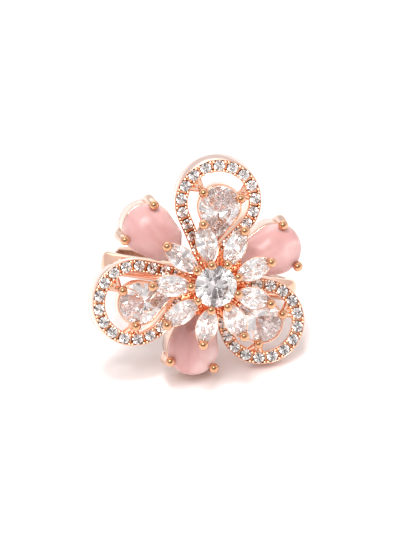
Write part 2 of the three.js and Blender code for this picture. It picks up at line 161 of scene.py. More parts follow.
# Ball prongs. The points of a wire's path are (out, across, up or down) from the tip, or from the back.
WIRE_WAIST = 0.12
BALL_SQUASH = 0.94
CENTRE_PRONGS = dict(radial=2.9, height=-0.92, foot=1.7, foot_height=-4.6, bend=(2.62, 0, -2.3), wire=0.38,
                     ball=0.58)
BENT_PRONGS = {2: (2.5, 0.62), 5: (2.65, 0.52)}  # two centre prongs are pressed further in
MARQUISE_PRONG = dict(radial=7.34, height=-1.92, foot=(0.75, -1.75), bend=(0.05, -0.75), wire=0.5, ball=0.6)
PEAR_PRONG = dict(radial=10.3, half=2.3, height=-6.8, foot=(0.22, 0.2), bend=(0.28, 0.26, 1.1), wire=0.42,
                  ball=0.6)
PEAR_FORK = dict(angles=(50, 62, 74), start=(0.15, 0.1, 0.9), drop=0.35, inset=0.1, radii=(0.38, 0.32))
CABOCHON_PRONG = dict(radial=10.78, half=2.72, height=-6.6, foot=(0.12, -0.2, 0.9), low=(0.32, 0.12, 2.4),
                      bend=(0.22, 0.08, 1.2), wire=0.5, swell=0.4, ball=0.6)

# ---------------------------------------------------------------- view, looks and light

CAMERA_TURNS = (-10.1, 8.1, 11.0)  # how the head lies in the view: about z, then x, then y
CAMERA_DISTANCE = 0.274
CAMERA_SENSOR = 36
AIM_RIGHT = -0.00105  # the centre stone sits a little right of and below the view's middle
AIM_UP = -0.0012
VIEW_HEIGHT = 0.06529412  # seen height at the centre stone's distance

# Noises as (scale, detail).
DRIFT = (260, 2)
HAZE = (900, 4)
RIPPLE = (1500, 2)
PATCHES = (380, 2)
BRUSHING = (1100, 3)
CLARITY = (1200, 3)

# Lowest and highest roughness.
MIRROR = (0.02, 0.05)
BEAD = (0.03, 0.07)
SATIN = (0.12, 0.24)

STREAKS = dict(Scale=1.0, Detail=3, Roughness=0.42, Distortion=0.5)
STREAK_STRETCH = (0.15, 0.36, 0.3)  # along the stone, across it and outwards
STREAK_STEP = 20  # sets the streaks of one cabochon apart from the next one's
STREAK_COORDS = "local"

FLOOR_HALF = 1.2
FLOOR_COLOUR = (0.97, 0.91, 0.90)

WORLD_STRENGTH = 0.88
WORLD_FILL = 0.77  # what matt surfaces get of the tent, so that the lamps cast clearer shadows
WORLD_GAP = ((0.974, (1, 1, 1)), (0.981, (0.72, 0.67, 0.67)), (0.988, (0.62, 0.57, 0.57)),
             (0.993, (0.14, 0.12, 0.12)))  # the tent round the camera's direction, by cosine
WORLD_RISE = ((0.0, (0.96, 0.94, 0.94)), (0.45, (1.0, 0.99, 1.0)), (0.85, (1.12, 1.12, 1.12)))

# Lamps stand round the head: degrees, metres and watts. Seen ones show in metal, lit ones on matt faces.
LAMPS = dict(
    key=dict(azimuth=-13, elevation=74, distance=0.60, size=0.14, power=2.0),
    fill=dict(azimuth=60, elevation=40, distance=0.4, size=0.3, power=0.2),
    front=dict(azimuth=-22, elevation=52, distance=0.35, size=0.12, power=0.36),
    sparkle=dict(azimuth=-22, elevation=52, distance=0.35, size=0.13, power=0.45, seen=True, lit=False),
    glint=dict(azimuth=-24, elevation=50, distance=0.35, size=0.13, power=0.8, seen=True, lit=False),
    back_panel=dict(azimuth=175, elevation=40, distance=0.5, size=0.45, power=0.64, seen=True, lit=False),
)


# ---------------------------------------------------------------- frames

def node_points(name):
    """The CAD node's vertices, in metres."""
    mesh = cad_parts[name].data
    points = np.zeros(len(mesh.vertices) * 3)
    mesh.vertices.foreach_get("co", points)
    return np.unique(points.reshape(-1, 3).round(7), axis=0)


def head_matrix():
    """Head frame in millimetres to the row frame in metres, read off the CAD nodes."""
    stone = node_points("centre_stone")
    axis = Vector(stone.mean(0) - node_points("hub_post").mean(0)).normalized()
    up = Vector(node_points("pear_stone_1").mean(0) - stone.mean(0))
    up = (up - axis * up.dot(axis)).normalized()
    right = up.cross(axis)
    middle = Vector(stone.mean(0))
    table = max(Vector(p).dot(axis) for p in stone)
    origin = middle + axis * (table - middle.dot(axis))
    facing = Matrix((right, up, axis)).transposed().to_4x4()
    return Matrix.Translation(origin) @ facing @ Matrix.Scale(MM, 4)


def turn(axis, degrees):
    return Matrix.Rotation(math.radians(degrees), 4, axis)


def shift(x, y, z):
    return Matrix.Translation((x, y, z))


HEAD = head_matrix()
SHANK = HEAD @ turn("X", -HEAD_NOD) @ shift(*SHANK_SHIFT, -HEAD_HEIGHT)
TILT = shift(HALO_PIVOT, 0, HALO["top"]) @ turn("Y", -HALO_TILT) @ shift(-HALO_PIVOT, 0, -HALO["top"])
SEAT = shift(MARQUISE_SEAT["radial"], 0, MARQUISE_SEAT["height"]) @ turn("Y", MARQUISE_SEAT["slope"])


# ---------------------------------------------------------------- camera

def make_camera():
    """Puts the camera in front of the head, and returns the direction from the head to it."""
    z, x, y = CAMERA_TURNS
    head_in_view = turn("Z", z) @ turn("X", x) @ turn("Y", y)
    head = HEAD.to_3x3() * (1 / MM)
    facing = (head @ head_in_view.to_3x3().inverted()).normalized().to_4x4()
    right, up, back = (facing.col[i].xyz for i in range(3))
    data = bpy.data.cameras.new("camera")
    data.sensor_width = CAMERA_SENSOR
    data.lens = CAMERA_SENSOR * CAMERA_DISTANCE / VIEW_HEIGHT
    data.clip_start = 0.01
    data.clip_end = 5
    camera = bpy.data.objects.new("camera", data)
    bpy.context.scene.collection.objects.link(camera)
    aim = HEAD.translation + right * AIM_RIGHT - up * AIM_UP
    camera.matrix_world = Matrix.Translation(aim + back * CAMERA_DISTANCE) @ facing
    bpy.context.scene.camera = camera
    return back


camera_back = make_camera()


# ---------------------------------------------------------------- materials

def new_material(name):
    material = bpy.data.materials.new(name)
    material.use_nodes = True
    tree = material.node_tree
    shader = tree.nodes["Principled BSDF"]
    return material, tree, shader


def noise(tree, scale, detail):
    coords = tree.nodes.new("ShaderNodeTexCoord")
    node = tree.nodes.new("ShaderNodeTexNoise")
    node.inputs["Scale"].default_value = scale
    node.inputs["Detail"].default_value = detail
    tree.links.new(coords.outputs["Object"], node.inputs["Vector"])
    return node.outputs["Fac"]


def span(tree, value, low, high):
    node = tree.nodes.new("ShaderNodeMapRange")
    node.inputs["To Min"].default_value = low
    node.inputs["To Max"].default_value = high
    tree.links.new(value, node.inputs["Value"])
    return node.outputs["Result"]


def ramp(tree, value, *stops):
    node = tree.nodes.new("ShaderNodeValToRGB")
    while len(node.color_ramp.elements) < len(stops):
        node.color_ramp.elements.new(0.5)
    for element, (place, colour) in zip(node.color_ramp.elements, stops):
        element.position = place
        element.color = (*colour, 1)
    tree.links.new(value, node.inputs["Fac"])
    return node.outputs["Color"]


def bump(tree, shader, height, strength, distance):
    node = tree.nodes.new("ShaderNodeBump")
    node.inputs["Strength"].default_value = strength
    node.inputs["Distance"].default_value = distance
    tree.links.new(height, node.inputs["Height"])
    tree.links.new(node.outputs["Normal"], shader.inputs["Normal"])


def metal(name, colour, haze, relief=RIPPLE, strength=0.05, distance=0.02 * MM):
    """A metal: colour(tree) gives its colour, and its roughness drifts between the two of haze."""
    material, tree, shader = new_material(name)
    shader.inputs["Metallic"].default_value = 1
    tree.links.new(colour(tree), shader.inputs["Base Color"])
    tree.links.new(span(tree, noise(tree, *HAZE), *haze), shader.inputs["Roughness"])
    bump(tree, shader, noise(tree, *relief), strength, distance)
    return material


def polished(name, pale, deep, haze):
    """Plating or foil with a slow drift of colour."""
    def colour(tree):
        return ramp(tree, noise(tree, *DRIFT), (0.3, pale), (0.75, deep))
    return metal(name, colour, haze)


def brushed(name, *stops):
    """Plain walls, brushed up and down, with patches in the colours of the stops."""
    def colour(tree):
        return ramp(tree, noise(tree, *PATCHES), *stops)
    return metal(name, colour, (0.12, 0.22), BRUSHING, 0.08, 0.03 * MM)


def facing_painted_metal(name, *stops):
    """Small polished beads, whose colour runs from the middle (0) to the rim (1) as they turn away from the
    view: painted reflection, highlight and shade.
    """
    def colour(tree):
        layer = tree.nodes.new("ShaderNodeLayerWeight")
        layer.inputs["Blend"].default_value = 0.5
        return ramp(tree, layer.outputs["Facing"], *stops)
    return metal(name, colour, BEAD, strength=0.06)


def clear(name, tint, ior):
    material, tree, shader = new_material(name)
    shader.inputs["Base Color"].default_value = (*tint, 1)
    shader.inputs["Transmission Weight"].default_value = 1
    shader.inputs["IOR"].default_value = ior
    tree.links.new(span(tree, noise(tree, *CLARITY), 0.0, 0.012), shader.inputs["Roughness"])
    return material


def milky(name, *stops):
    """Milky stone: soft light inside, faint silky streaks along the stone and a glassy polish."""
    material, tree, shader = new_material(name)
    local = tree.nodes.new("ShaderNodeAttribute")
    local.attribute_name = STREAK_COORDS
    stretch = tree.nodes.new("ShaderNodeMapping")
    stretch.inputs["Scale"].default_value = STREAK_STRETCH
    tree.links.new(local.outputs["Vector"], stretch.inputs["Vector"])
    streaks = tree.nodes.new("ShaderNodeTexNoise")
    for socket, value in STREAKS.items():
        streaks.inputs[socket].default_value = value
    tree.links.new(stretch.outputs["Vector"], streaks.inputs["Vector"])
    tree.links.new(ramp(tree, streaks.outputs["Fac"], *stops), shader.inputs["Base Color"])
    shader.inputs["Subsurface Weight"].default_value = 0.7
    shader.inputs["Subsurface Radius"].default_value = (1.0, 0.6, 0.55)
    shader.inputs["Subsurface Scale"].default_value = 0.8 * MM
    shader.inputs["Roughness"].default_value = 0.26
    shader.inputs["IOR"].default_value = 1.54
    return material


ROSE = polished("rose_gold", (0.94, 0.64, 0.49), (0.89, 0.54, 0.39), (0.06, 0.14))
# Prong balls: the dark middle is a painted reflection of the camera's side, the bright band a painted
# highlight and the darker rim painted shade.
PRONG_PAINTED_REFLECTION_GOLD = facing_painted_metal("prong_gold_painted_reflection", (0.0, (0.30, 0.14, 0.07)), (0.08, (0.50, 0.25, 0.13)),
                    (0.24, (0.84, 0.48, 0.29)), (0.55, (0.74, 0.39, 0.22)), (0.9, (0.58, 0.28, 0.15)))
# Grains: the bright middle is a painted highlight and the dark rim painted shade.
GRAIN_PAINTED_HIGHLIGHT_GOLD = facing_painted_metal("grain_gold_painted_highlight", (0.0, (0.98, 0.74, 0.55)), (0.25, (0.93, 0.60, 0.40)),
                    (0.50, (0.70, 0.36, 0.20)), (0.9, (0.52, 0.24, 0.12)))
BRUSHED_GOLD = brushed("brushed_gold", (0.34, (0.70, 0.45, 0.34)), (0.50, (0.80, 0.55, 0.43)),
                       (0.66, (0.89, 0.65, 0.53)))
# Darker, redder gold for the halo's sunk bed and the plates between its stones: painted shade, on a satin
# finish.
PAINTED_SHADE_GOLD = polished("painted_shade_gold", (0.80, 0.42, 0.25), (0.68, 0.31, 0.16), SATIN)
# Slightly darker gold in the recesses of the centre cup and between the marquise cups: painted shade, on a
# satin finish.
RECESS_PAINTED_SHADE_GOLD = polished("recess_gold_painted_shade", (0.94, 0.61, 0.44), (0.87, 0.50, 0.33), SATIN)
BAND_GOLD = polished("band_gold", (0.91, 0.60, 0.46), (0.85, 0.51, 0.38), (0.07, 0.15))
WALL_GOLD = polished("wall_gold", (0.91, 0.68, 0.60), (0.87, 0.61, 0.52), (0.08, 0.16))
CLEAR = clear("clear_stone", (1.0, 0.985, 0.985), 2.16)
PAVE_CLEAR = clear("pave_stone", (1.0, 1.0, 1.0), 2.1)
PINK = milky("milky_pink", (0.32, (0.56, 0.30, 0.285)), (0.52, (0.625, 0.365, 0.35)),
             (0.70, (0.76, 0.55, 0.53)))
FOIL = polished("foil_silver", (0.98, 0.965, 0.955), (0.95, 0.935, 0.925), MIRROR)
# Tinted foils: painted reflections of the surroundings in the facets, the dark one painted shade.
PAINTED_GREY_REFLECTION = polished("foil_grey_painted_reflection", (0.88, 0.87, 0.87), (0.81, 0.80, 0.80), MIRROR)
PAINTED_DARK_REFLECTION = polished("foil_dark_painted_reflection", (0.35, 0.32, 0.31), (0.25, 0.22, 0.21), MIRROR)
PAINTED_PINK_REFLECTION = polished("foil_pink_painted_reflection", (0.95, 0.895, 0.885), (0.91, 0.845, 0.835), (0.07, 0.14))
PAINTED_PALE_REFLECTION = polished("foil_pale_painted_reflection", (0.955, 0.945, 0.941), (0.93, 0.918, 0.913), (0.05, 0.10))
PAINTED_BLUE_REFLECTION = polished("foil_blue_painted_reflection", (0.86, 0.88, 0.93), (0.80, 0.82, 0.88), (0.04, 0.08))
# The finger hole in darker, rougher gold: the rougher finish is real, the darker colour painted shade.
BORE_PAINTED_SHADE_GOLD = polished("inside_gold_painted_shade", (0.70, 0.50, 0.39), (0.60, 0.41, 0.31), (0.16, 0.28))


# ---------------------------------------------------------------- mesh building

class Shape:
    """A growing list of points and faces, with a mark for each face."""

    def __init__(self):
        self.points = []
        self.faces = []
        self.marks = []

    def add(self, points, faces, marks, place=None):
        start = len(self.points)
        place = place or Matrix.Identity(4)
        self.points.extend(tuple(place @ Vector(p)) for p in points)
        self.faces.extend(tuple(start + i for i in face) for face in faces)
        self.marks.extend(marks)
        return self

    def join(self, other, place=None):
        return self.add(other.points, other.faces, other.marks, place)


def radians(angles):
    return [math.radians(angle) for angle in angles]


def spread(count, offset=0.0):
    """Even angles round a circle; the offset is in degrees."""
    return [math.radians(offset) + 2 * math.pi * k / count for k in range(count)]


def grid_faces(rows, columns, closed=False):
    """Faces of a tube of point rings, which closes on itself where asked."""
    faces = []
    for i in range(rows if closed else rows - 1):
        for j in range(columns):
            a, b = i * columns + j, i * columns + (j + 1) % columns
            below = ((i + 1) % rows) * columns
            faces.append((a, b, below + (j + 1) % columns, below + j))
    return faces


def rings_shape(rings, mark=POLISHED, closed=False, marks=None):
    """A tube of rings, capped unless closed; marks, where given, is a mark for each step along a ring."""
    columns = len(rings[0])
    faces = grid_faces(len(rings), columns, closed)
    if not closed:
        faces.append(tuple(reversed(range(columns))))
        faces.append(tuple((len(rings) - 1) * columns + j for j in range(columns)))
    marks = marks or [mark] * columns
    return Shape().add([p for ring in rings for p in ring], faces,
                       [marks[i % columns] for i in range(len(faces))])


def tube(path, radii, mark=POLISHED, sides=16):
    """A round wire through the points, with a radius at each."""
    path = [Vector(p) for p in path]
    across = None
    rings = []
    for i, at in enumerate(path):
        run = (path[min(i + 1, len(path) - 1)] - path[max(i - 1, 0)]).normalized()
        if across is None:
            across = run.orthogonal().normalized()
        across = (across - run * across.dot(run)).normalized()
        other = run.cross(across)
        rings.append([at + (across * math.cos(a) + other * math.sin(a)) * radii[i] for a in spread(sides)])
    return rings_shape(rings, mark)


def smooth_path(points, steps=6):
    """Catmull-Rom curve through the points."""
    points = [Vector(p) for p in points]
    ends = [points[0] * 2 - points[1], *points, points[-1] * 2 - points[-2]]
    path = []
    for a, b, c, d in zip(ends, ends[1:], ends[2:], ends[3:]):
        for k in range(steps):
            t = k / steps
            path.append(0.5 * (2 * b + (c - a) * t + (2 * a - 5 * b + 4 * c - d) * t * t
                               + (3 * b - a - 3 * c + d) * t ** 3))
    return path + [points[-1]]


def ball(at, radius, squash=1.0, mark=TIP, rows=14, sides=22):
    """A prong's head: a ball drawn in a little along z."""
    points = []
    for i in range(1, rows):
        angle = math.pi * i / rows
        wide = radius * math.sin(angle)
        height = -radius * math.cos(angle) * squash
        points.extend((wide * math.cos(a), wide * math.sin(a), height) for a in spread(sides))
    faces = grid_faces(rows - 1, sides)
    low, high = len(points), len(points) + 1
    points.extend([(0, 0, -radius * squash), (0, 0, radius * squash)])
    last = (rows - 2) * sides
    for k in range(sides):
        faces.append((low, (k + 1) % sides, k))
        faces.append((high, last + k, last + (k + 1) % sides))
    return Shape().add(points, faces, [mark] * len(faces), shift(*at))


def grain(at, radius):
    return ball(at, radius, mark=GRAIN_METAL, **GRAIN_MESH)


def prong(path, wire, head):
    """A wire with a slight waist, and a ball at its tip."""
    points = smooth_path(path)
    last = len(points) - 1
    radii = [wire * (1.0 - WIRE_WAIST * math.sin(math.pi * i / last)) for i in range(len(points))]
    return tube(points, radii).join(ball(path[-1], head, BALL_SQUASH))


def beside(pair, side, out, across, height):
    """A point near the tip of one of a pair of prongs: out and across from it, at the height."""
    return (pair["radial"] + out, side * (pair["half"] + across), height)


# ---------------------------------------------------------------- outlines

def belt(circles, step):
    """Closed outline round circles (x, y, r), counter-clockwise: points with their outward normals as
    (x, y, nx, ny), one every step degrees of each bend."""
    def tangent(a, b):
        dx, dy = b[0] - a[0], b[1] - a[1]
        return math.atan2(dy, dx) - math.acos((a[2] - b[2]) / math.hypot(dx, dy))

    points = []
    for i, (x, y, r) in enumerate(circles):
        start = tangent(circles[i - 1], circles[i])
        end = tangent(circles[i], circles[(i + 1) % len(circles)])
        while end < start:
            end += 2 * math.pi
        parts = max(3, round(math.degrees(end - start) / step))
        for k in range(parts + 1):
            angle = start + (end - start) * k / parts
            nx, ny = math.cos(angle), math.sin(angle)
            points.append((x + r * nx, y + r * ny, nx, ny))
    return points


def fill_straights(outline, longest=0.35):
    """Adds points along the straight runs, so that every face of a sweep stays short."""
    filled = []
    for a, b in zip(outline, outline[1:] + outline[:1]):
        parts = max(1, math.ceil(math.hypot(b[0] - a[0], b[1] - a[1]) / longest))
        for k in range(parts):
            t = k / parts
            mixed = [a[i] * (1 - t) + b[i] * t for i in range(4)]
            size = math.hypot(mixed[2], mixed[3])
            filled.append((mixed[0], mixed[1], mixed[2] / size, mixed[3] / size))
    return filled


def tear(stone, step):
    """A petal's outline, with its tip towards the centre."""
    circles = [(stone["outer"], 0, stone["radius"]), (stone["tip"], 0, stone["tip_radius"])]
    if "cheek" in stone:
        x, y, r = stone["cheek"]
        circles = [circles[0], (x, y, r), circles[1], (x, -y, r)]
    return fill_straights(belt(circles, step))


def round_outline(radius, sides):
    return [(radius * math.cos(a), radius * math.sin(a), math.cos(a), math.sin(a)) for a in spread(sides)]


def lens_arc(length, width):
    """The radius of the two arcs of a pointed oval, and half the angle that each runs through."""
    arc = (length * length + width * width) / (4 * width)
    return arc, math.asin(length / 2 / arc)


def lens(length, width, parts=24):
    """Pointed oval along x, as plain points."""
    arc, half = lens_arc(length, width)
    points = []
    for side in (-1, 1):
        for k in range(parts):
            a = -half + 2 * half * k / parts
            points.append((-side * arc * math.sin(a), side * (arc * math.cos(a) - arc + width / 2)))
    return points


def sweep(outline, profile, recess=(0, 0, 0, 0), lean=0.0, wall=math.inf, deep=RECESS, plain=WALL):
    """A closed profile of (offset, height) carried round an outline, its lower parts pushed along x by
    lean for each unit of depth. Steps inside the recess box (two offsets, two heights) get the deep
    mark, and steps below its top and beyond the wall's offset the plain mark."""
    rings = [[(x + nx * o - z * lean, y + ny * o, z) for o, z in profile] for x, y, nx, ny in outline]
    marks = []
    for (o, z), (p, w) in zip(profile, profile[1:] + profile[:1]):
        offset, height = (o + p) / 2, (z + w) / 2
        inside = recess[0] < offset < recess[1] and recess[2] < height < recess[3]
        outside = offset > wall and height < recess[3]
        marks.append(deep if inside else plain if outside else POLISHED)
    return rings_shape(rings, closed=True, marks=marks)


def rounded(corners, radius, parts=3):
    """A closed profile of (offset, height) with its corners rounded."""
    profile = []
    for i, corner in enumerate(corners):
        corner = Vector(corner)
        before = Vector(corners[i - 1]) - corner
        after = Vector(corners[(i + 1) % len(corners)]) - corner
        reach = min(radius, before.length * 0.45, after.length * 0.45)
        a = corner + before.normalized() * reach
        b = corner + after.normalized() * reach
        for k in range(parts + 1):
            t = k / parts
            profile.append(tuple(a * (1 - t) ** 2 + corner * (2 * t * (1 - t)) + b * t * t))
    return profile


# ---------------------------------------------------------------- cut stones

PARALLEL = 1e-7
OUTSIDE = 1e-6
SAME_POINT = 2e-5
ON_PLANE = 5e-5


def planes_solid(planes):
    """The convex solid inside the planes (normal, distance, mark), with one face for each plane."""
    normals = np.array([plane[0] for plane in planes], float)
    lengths = np.linalg.norm(normals, axis=1)
    normals /= lengths[:, None]
    distances = np.array([plane[1] for plane in planes], float) / lengths
    triples = np.array(list(combinations(range(len(planes)), 3)))
    corner = normals[triples]
    good = np.abs(np.linalg.det(corner)) > PARALLEL
    triples, corner = triples[good], corner[good]
    points = np.linalg.solve(corner, distances[triples][:, :, None])[:, :, 0]
    inside = np.ones(len(points), bool)
    for n, d in zip(normals, distances):
        inside &= points @ n <= d + OUTSIDE
    kept = []
    for p in np.unique(points[inside].round(6), axis=0):
        if not any(np.abs(p - q).max() < SAME_POINT for q in kept):
            kept.append(p)
    points = np.array(kept)
    faces, marks = [], []
    for n, d, plane in zip(normals, distances, planes):
        on = np.where(np.abs(points @ n - d) < ON_PLANE)[0]
        if len(on) < 3:
            continue
        spokes = points[on] - points[on].mean(0)
        first = spokes[0] / np.linalg.norm(spokes[0])
        second = np.cross(n, first)
        order = np.argsort(np.arctan2(spokes @ second, spokes @ first))
        faces.append(tuple(int(i) for i in on[order]))
        marks.append(plane[2])
    return Shape().add(points.tolist(), faces, marks)


def brilliant(reach, mains, girdle_angles, stone, backs, table=CUT["table"], between=SILVER):
    """A brilliant cut round the culet's axis. reach(angle) is the outline's distance that way.
    Backs are the marks of the foil behind the back's main faces, and between is the mark of the foil
    behind the faces between them and round the girdle. Grey, dark, blush, pale and blue foils are
    painted reflections, the dark ones painted shade."""
    up, down, half_rim = stone["crown"], stone["depth"], CUT["rim"] / 2
    planes = [((0, 0, 1), up, CRYSTAL), ((0, 0, -1), down * CUT["culet"], SILVER)]

    def slanted(angle, fraction, height, sign, steeper=1.0, mark=CRYSTAL):
        """A face through the girdle's edge, above it (sign 1) or below it (sign -1)."""
        far = reach(angle)
        rise = height / ((1 - fraction) * far) * steeper
        normal = (math.cos(angle) * rise, math.sin(angle) * rise, sign)
        distance = normal[0] * far * math.cos(angle) + normal[1] * far * math.sin(angle) + half_rim
        planes.append((normal, distance, mark))

    for i, angle in enumerate(mains):
        gap = (mains[(i + 1) % len(mains)] - angle) % (2 * math.pi)
        slanted(angle, table, up - half_rim, 1)
        slanted(angle, 0, down - half_rim, -1, mark=backs[i])
        for share in CUT["halves"]:
            slanted(angle + gap * share, table, up - half_rim, 1, CUT["upper"])
            slanted(angle + gap * share, 0, down - half_rim, -1, CUT["lower"], between)
        star = angle + gap / 2
        far = reach(star) * table * math.cos(gap / 2)
        slope = CUT["star"] * (up - half_rim) / ((1 - table) * reach(star))
        planes.append(((math.cos(star) * slope, math.sin(star) * slope, 1), slope * far + up, CRYSTAL))
    for angle in girdle_angles:
        planes.append(((math.cos(angle), math.sin(angle), 0), reach(angle), between))
    return planes_solid(planes)


def tear_reach(stone, middle):
    """Distance from (middle, 0) to the teardrop's tangent line in each direction."""
    def reach(angle):
        return max((stone["outer"] - middle) * math.cos(angle) + stone["radius"],
                   (stone["tip"] - middle) * math.cos(angle) + stone["tip_radius"])
    return reach


def lens_reach(length, width):
    """Distance from the middle of a pointed oval to its tangent line in each direction."""
    arc, half = lens_arc(length, width)

    def reach(angle):
        lean = abs(math.remainder(angle, math.pi))
        if abs(lean - math.pi / 2) < half:
            return (width / 2 - arc) * math.sin(lean) + arc
        return length / 2 * math.cos(lean)
    return reach


def round_stone():
    return brilliant(lambda angle: CENTRE["radius"], spread(8), spread(48), CENTRE, CENTRE_BACKS)


def pave_stone(backs):
    return brilliant(lambda angle: PAVE["radius"], spread(8), spread(16, 11.25), PAVE, backs)


def pear_stone():
    girdle = spread(40) + radians(PEAR_TIP_GIRDLE)
    shape = brilliant(tear_reach(PEAR, PEAR_CULET), radians(PEAR_MAINS), girdle, PEAR, PEAR_BACKS,
                      between=PALE)
    return Shape().join(shape, shift(PEAR_CULET, 0, PEAR["girdle"]))


def marquise_stone():
    size = (MARQUISE["length"], MARQUISE["width"])
    half = math.degrees(lens_arc(*size)[1])
    girdle = radians(side + half * k / 8 for side in (90, 270) for k in range(-8, 9))
    return brilliant(lens_reach(*size), radians(MARQUISE_MAINS), girdle, MARQUISE, MARQUISE_BACKS,
                     MARQUISE_TABLE, PALE)


# ---------------------------------------------------------------- halo and pave

def halo_stations():
    """(x, y, nx, ny) at even steps along the halo's centre line: the stones' places and the places
    between them, which start beside the outer end."""
    line = tear(HALO, 2.0)
    start = max(range(len(line)), key=lambda i: line[i][0])
    loop = line[start:] + line[:start + 1]
    lengths = [0.0]
    for a, b in zip(loop, loop[1:]):
        lengths.append(lengths[-1] + math.hypot(b[0] - a[0], b[1] - a[1]))
    stations = []
    for k in range(2 * PAVE["count"]):
        want = lengths[-1] * (k + 1) / (2 * PAVE["count"])
        i = max(1, next((n for n, length in enumerate(lengths) if length >= want - 1e-9), len(loop) - 1))
        t = (want - lengths[i - 1]) / (lengths[i] - lengths[i - 1])
        stations.append([loop[i - 1][n] * (1 - t) + loop[i][n] * t for n in range(4)])
    return stations[0::2], stations[1::2]


def grain_bridge():
    """The metal between two stones of a row: an hourglass plate with a grain at either end; the plate is in
    darker gold as painted shade.
    """
    right = []
    for k in range(BRIDGE["points"]):
        v = -BRIDGE["half"] + BRIDGE["step"] * k
        right.append((BRIDGE["pitch"] / 2 - math.sqrt(max(0.0, BRIDGE["seat"] ** 2 - v * v)), v))
    outline = right + [(-u, v) for u, v in reversed(right)]
    rings = [[(u, v, z) for u, v in outline] for z in (BED - 0.02, BRIDGE["shoulder"])]
    rings.append([(u * BRIDGE["taper"], v, BRIDGE["top"]) for u, v in outline])
    shape = rings_shape(rings, SHADE)
    for side in (-1, 1):
        for across in (-1, 1):
            at = (across * GRAIN["apart"], side * GRAIN["offset"], GRAIN["height"])
            shape.join(grain(at, GRAIN["radius"]))
    return shape


def halo_shape():
    """Teardrop rail: a plain outer wall, two thin rims, a sunk bed and grains between the stones; the bed is
    in darker gold as painted shade.
    """
    out, low = RAIL_HALF, -HALO["depth"]
    rim = out - RAIL_RIM["width"]
    bevel, outer, inner = RAIL_RIM["bevel"], -RAIL_RIM["outer_drop"], -RAIL_RIM["inner_drop"]
    profile = rounded([
        (-out, low), (out, low), (out, outer), (out - bevel, 0.0), (rim + bevel, 0.0), (rim, inner),
        (rim, BED), (-rim, BED), (-rim, inner), (-rim - bevel, 0.0), (bevel - out, 0.0), (-out, outer),
    ], SOFT_EDGE, 2)
    recess = (-rim - 0.01, rim + 0.01, BED - 0.1, inner - 0.01)
    shape = sweep(tear(HALO, 3.0), profile, recess, HALO["lean"] / HALO["depth"], out - 0.02, deep=SHADE)
    bridge = grain_bridge()
    for x, y, nx, ny in halo_stations()[1]:
        spin = math.degrees(math.atan2(ny, nx)) - 90
        shape.join(bridge, shift(x, y, 0) @ turn("Z", spin))
    return Shape().join(shape, shift(0, 0, HALO["top"]))


def pave_shape():
    """A row of small stones, each turned at random and with one of the four sets of backs."""
    stones = [pave_stone(backs) for backs in PAVE_BACKS]
    shape = Shape()
    chance = random.Random(PAVE_SEED)
    for x, y, nx, ny in halo_stations()[0]:
        spin = chance.uniform(0, 360)
        shape.join(chance.choice(stones), shift(x, y, HALO["top"] + PAVE["girdle"]) @ turn("Z", spin))
    return shape


# ---------------------------------------------------------------- settings

def pear_basket_shape():
    """A thin rim and a low wall round the stone, with two ball prongs and forked bridges to the halo."""
    top = PEAR["girdle"]
    pair = PEAR_PRONG
    foot_out, foot_across = pair["foot"]
    bend_out, bend_across, bend_drop = pair["bend"]
    start_out, start_across, start_drop = PEAR_FORK["start"]
    shape = sweep(tear(PEAR, 4.0), rounded([(o, top + z) for o, z in PEAR_WALL], SOFT_EDGE, 2))
    for side in (-1, 1):
        tip = beside(pair, side, 0, 0, pair["height"])
        low = beside(pair, side, foot_out, foot_across, PEAR_FOOT)
        bend = beside(pair, side, bend_out, bend_across, pair["height"] - bend_drop)
        shape.join(prong([low, bend, tip], pair["wire"], pair["ball"]))
        start = beside(pair, side, start_out, start_across, top - start_drop)
        reach = HALO["radius"] - RAIL_HALF + PEAR_FORK["inset"]
        for a in radians(PEAR_FORK["angles"]):
            end = (HALO["outer"] + reach * math.cos(a), side * reach * math.sin(a),
                   HALO["top"] - PEAR_FORK["drop"])
            shape.join(tube([start, end], PEAR_FORK["radii"]))
    return shape


def cabochon_basket_shape():
    """A plain wall that carries the stone's base, and two stout prongs bent over its edge."""
    pair = CABOCHON_PRONG
    foot_out, foot_across, foot_rise = pair["foot"]
    low_out, low_across, low_rise = pair["low"]
    bend_out, bend_across, bend_drop = pair["bend"]
    shape = sweep(tear(CABOCHON, 4.0), rounded(CABOCHON_WALL, SOFTER_EDGE), wall=CABOCHON_WALL_FACE,
                  plain=BRUSHED)
    for side in (-1, 1):
        tip = beside(pair, side, 0, 0, pair["height"])
        path = smooth_path([
            beside(pair, side, foot_out, foot_across, HEAD_BACK + foot_rise),
            beside(pair, side, low_out, low_across, HEAD_BACK + low_rise),
            beside(pair, side, bend_out, bend_across, pair["height"] - bend_drop),
            tip,
        ])
        last = len(path) - 1
        radii = [pair["wire"] * (1 + pair["swell"] - pair["swell"] * i / last) for i in range(len(path))]
        shape.join(tube(path, radii, BRUSHED)).join(ball(tip, pair["ball"], BALL_SQUASH))
    return shape


def marquise_cup_shape():
    """A boat-shaped cup with a thin rim, open below, and one ball prong at its outer tip."""
    rings = []
    for grow, scale, z, lean in CUP_RINGS:
        points = lens(MARQUISE["length"] + CUP_GROWTH[0] * grow, MARQUISE["width"] + CUP_GROWTH[1] * grow)
        rings.append([(lean + (x - lean) * scale, y * scale, z) for x, y in points])
    shape = rings_shape(rings, closed=True)
    columns = len(rings[0])
    # the inner end of the outside gets the recess gold as painted shade
    for step in range(CUP_SHADE["steps"]):
        for i in range(columns):
            if rings[step][i][0] < CUP_SHADE["until"]:
                shape.marks[step * columns + i] = RECESS
    tip = SEAT.inverted() @ Vector((MARQUISE_PRONG["radial"], 0, MARQUISE_PRONG["height"]))
    path = [(tip.x - inward, 0, z) for inward, z in (MARQUISE_PRONG["foot"], MARQUISE_PRONG["bend"])]
    return shape.join(prong([*path, tuple(tip)], MARQUISE_PRONG["wire"], MARQUISE_PRONG["ball"]))


